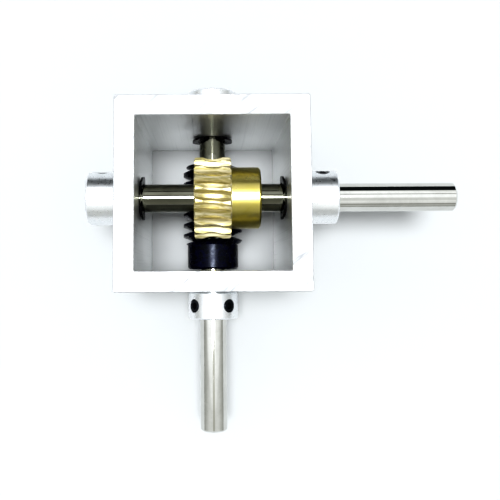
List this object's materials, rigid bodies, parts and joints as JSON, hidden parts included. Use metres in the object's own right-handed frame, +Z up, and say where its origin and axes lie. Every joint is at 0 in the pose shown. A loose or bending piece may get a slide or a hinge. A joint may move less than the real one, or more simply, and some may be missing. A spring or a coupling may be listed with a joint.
{
  "type": "worm gear set",
  "caption": "Worm and worm wheel on crossed shafts, carried in flanged bearings in a short open-ended square tube, with set collars outside its walls.",
  "frame": {"origin": "centre of the tube's base, on the plane that it stands on", "axes": "+Z up the tube to its open top; +X along the output shaft towards its free end; -Y along the input shaft towards its free end"},
  "size_m": [0.1033, 0.103, 0.054],
  "materials": {
    "tube_aluminium": "mill finish, semi-gloss, sawn ends with fine scratches",
    "shaft_steel": "ground and polished",
    "wheel_brass": "machined, bright",
    "worm_black_steel": "black oxide, oiled",
    "screw_black_steel": "black oxide",
    "collar_aluminium": "satin, turned",
    "clip_spring_steel": "dark phosphated spring steel",
    "bearing_steel": "ground bearing steel",
    "ball_steel": "polished balls",
    "cage_steel": "pressed steel",
    "shield_steel": "pressed steel"
  },
  "bodies": {
    "housing": {"tube_frame": "tube_aluminium", "bearing_outer_left": "bearing_steel", "bearing_shields_left": "shield_steel", "bearing_outer_right": "bearing_steel", "bearing_shields_right": "shield_steel", "bearing_outer_rear": "bearing_steel", "bearing_shields_rear": "shield_steel", "bearing_outer_front": "bearing_steel", "bearing_shields_front": "shield_steel"},
    "input_rotor": {"input_shaft": "shaft_steel", "worm": "worm_black_steel", "worm_set_screw": "screw_black_steel", "collar_rear": "collar_aluminium", "collar_screws_rear": "screw_black_steel", "e_clip_rear": "clip_spring_steel", "bearing_inner_rear": "bearing_steel", "collar_front": "collar_aluminium", "collar_screws_front": "screw_black_steel", "bearing_inner_front": "bearing_steel"},
    "output_rotor": {"output_shaft": "shaft_steel", "worm_wheel": "wheel_brass", "wheel_set_screw": "screw_black_steel", "collar_left": "collar_aluminium", "collar_screws_left": "screw_black_steel", "e_clip_left": "clip_spring_steel", "bearing_inner_left": "bearing_steel", "collar_right": "collar_aluminium", "collar_screws_right": "screw_black_steel", "e_clip_right": "clip_spring_steel", "bearing_inner_right": "bearing_steel"},
    "ball_set_left": {"bearing_balls_left": "ball_steel", "bearing_cage_left": "cage_steel"},
    "ball_set_right": {"bearing_balls_right": "ball_steel", "bearing_cage_right": "cage_steel"},
    "ball_set_rear": {"bearing_balls_rear": "ball_steel", "bearing_cage_rear": "cage_steel"},
    "ball_set_front": {"bearing_balls_front": "ball_steel", "bearing_cage_front": "cage_steel"}
  },
  "joints": [
    {"name": "input_spin", "type": "hinge", "parent": "housing", "child": "input_rotor", "pos_m": [0, 0, 0.02], "axis": [0, 1, 0], "continuous": true},
    {"name": "output_spin", "type": "hinge", "parent": "housing", "child": "output_rotor", "pos_m": [0, 0, 0.038], "axis": [1, 0, 0], "continuous": true},
    {"name": "balls_roll_left", "type": "hinge", "parent": "housing", "child": "ball_set_left", "pos_m": [0, 0, 0.038], "axis": [1, 0, 0], "continuous": true},
    {"name": "balls_roll_right", "type": "hinge", "parent": "housing", "child": "ball_set_right", "pos_m": [0, 0, 0.038], "axis": [1, 0, 0], "continuous": true},
    {"name": "balls_roll_rear", "type": "hinge", "parent": "housing", "child": "ball_set_rear", "pos_m": [0, 0, 0.02], "axis": [0, 1, 0], "continuous": true},
    {"name": "balls_roll_front", "type": "hinge", "parent": "housing", "child": "ball_set_front", "pos_m": [0, 0, 0.02], "axis": [0, 1, 0], "continuous": true}
  ],
  "couplings": [
    {"joint": "output_spin", "follows": "input_spin", "ratio": -0.05},
    {"joint": "balls_roll_left", "follows": "input_spin", "ratio": -0.022},
    {"joint": "balls_roll_right", "follows": "input_spin", "ratio": -0.022},
    {"joint": "balls_roll_rear", "follows": "input_spin", "ratio": 0.44},
    {"joint": "balls_roll_front", "follows": "input_spin", "ratio": 0.44}
  ]
}
